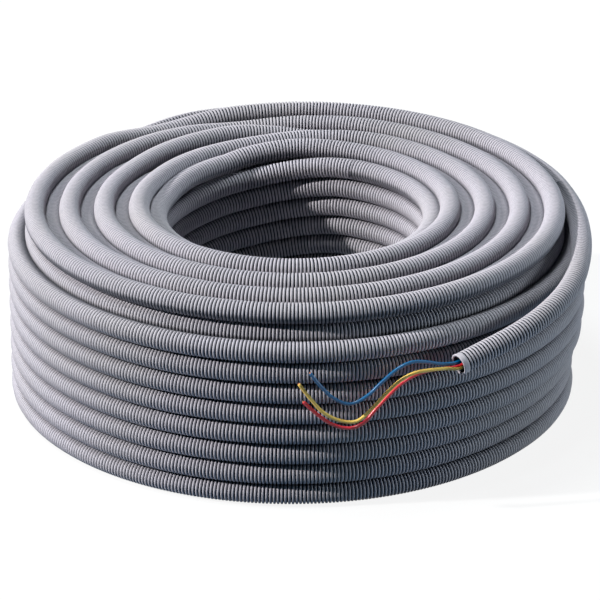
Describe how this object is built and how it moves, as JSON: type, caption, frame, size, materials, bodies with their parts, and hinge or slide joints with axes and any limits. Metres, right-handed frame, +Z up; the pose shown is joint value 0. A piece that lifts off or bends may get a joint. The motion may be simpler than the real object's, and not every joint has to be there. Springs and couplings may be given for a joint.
{
  "type": "corrugated conduit coil",
  "caption": "Coil of grey corrugated plastic conduit wound in nested layers round an open eye, with its free end hanging outside and three insulated wires coming out of it.",
  "frame": {"origin": "on the floor, under the middle of the conduit's whole outline, free end included and wires left out", "axes": "+Z up along the axis of the coil's eye, -Y towards the side where the wires hang, +X towards the side where the free end leaves the coil"},
  "size_m": [0.5472, 0.5619, 0.19],
  "materials": {
    "conduit_plastic": "satin",
    "blue_insulation": "semi-gloss",
    "yellow_insulation": "semi-gloss",
    "red_insulation": "semi-gloss"
  },
  "bodies": {
    "root": {"conduit": "conduit_plastic", "blue_wire": "blue_insulation", "yellow_wire": "yellow_insulation", "red_wire": "red_insulation"}
  },
  "joints": []
}
